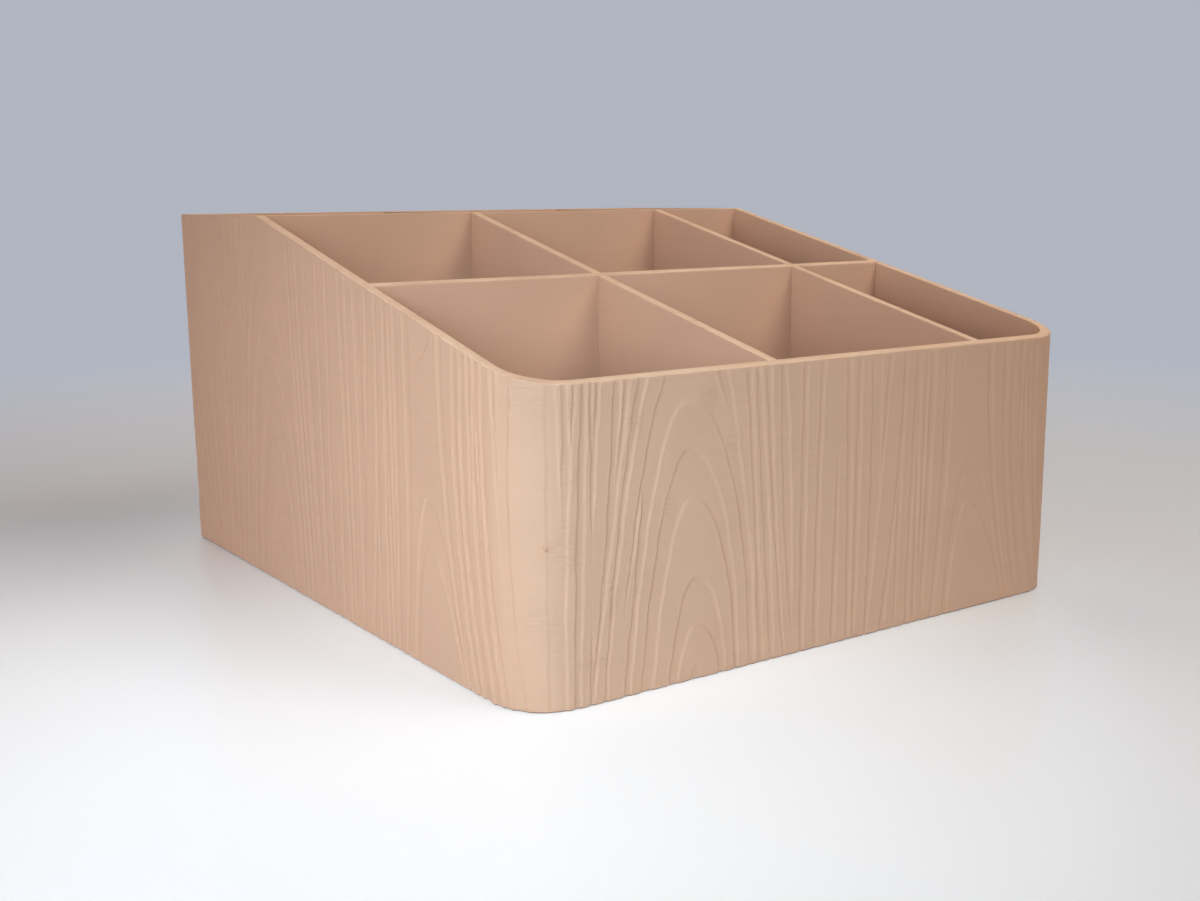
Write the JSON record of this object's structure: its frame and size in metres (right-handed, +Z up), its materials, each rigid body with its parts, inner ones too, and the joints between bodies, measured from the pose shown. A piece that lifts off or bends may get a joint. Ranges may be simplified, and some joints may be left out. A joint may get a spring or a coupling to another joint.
{
  "type": "bathroom organizer",
  "caption": "Open compartment tray for small toiletries, level and tall at the back with a top that slopes down to a low rounded front, and a wood-grain relief on the outside.",
  "frame": {"origin": "centre of the footprint, on the surface that the tray stands on", "axes": "+X to the right of someone facing the low front, +Y from the front to the tall back, +Z up"},
  "size_m": [0.2, 0.228, 0.118],
  "materials": {
    "sand_plastic": "matt sand-coloured plastic with fine horizontal layer lines"
  },
  "bodies": {
    "root": {"base_plate": "sand_plastic", "front_wall": "sand_plastic", "left_wall": "sand_plastic", "right_wall": "sand_plastic", "back_wall": "sand_plastic", "left_divider": "sand_plastic", "right_divider": "sand_plastic", "front_cross_divider": "sand_plastic", "rear_cross_divider": "sand_plastic"}
  },
  "joints": []
}
